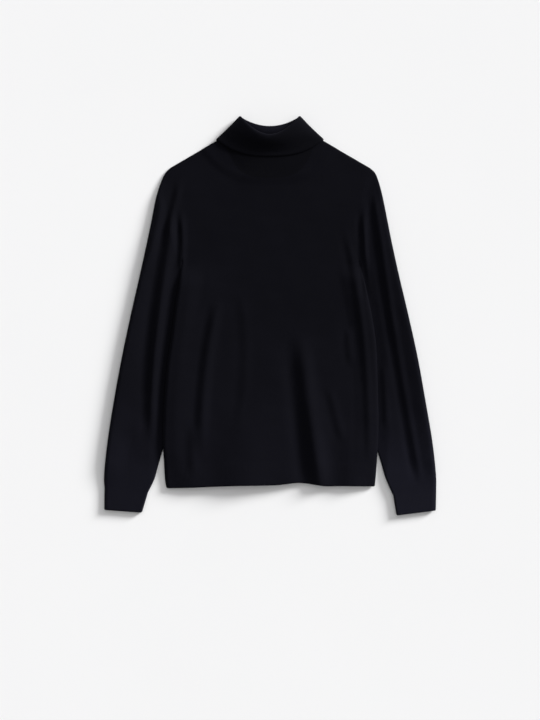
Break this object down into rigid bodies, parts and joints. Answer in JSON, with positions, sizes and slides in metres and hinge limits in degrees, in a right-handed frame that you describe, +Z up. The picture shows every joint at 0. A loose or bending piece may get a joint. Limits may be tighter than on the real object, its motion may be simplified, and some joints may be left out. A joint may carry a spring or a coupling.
{
  "type": "turtleneck sweater",
  "caption": "Fine-knit roll-neck sweater laid flat, front up, with set-in sleeves, rib hem and cuffs and a turned-down collar.",
  "frame": {"origin": "centre of the overall box, on the surface that the garment lies on", "axes": "+X to the viewer's right, which is the wearer's left; +Y from the hem to the collar; +Z up from the surface, out of the front of the garment"},
  "size_m": [0.666, 0.8002, 0.0325],
  "materials": {
    "knit": "fine jersey knit, matt, nearly black with a faint violet-blue cast",
    "rib": "fine rib knit of the same yarn"
  },
  "bodies": {
    "root": {"front": "knit", "back": "knit", "sleeve_left": "knit", "sleeve_right": "knit", "hem_front": "rib", "hem_back": "rib", "cuff_left": "rib", "cuff_right": "rib", "collar": "rib"}
  },
  "joints": []
}
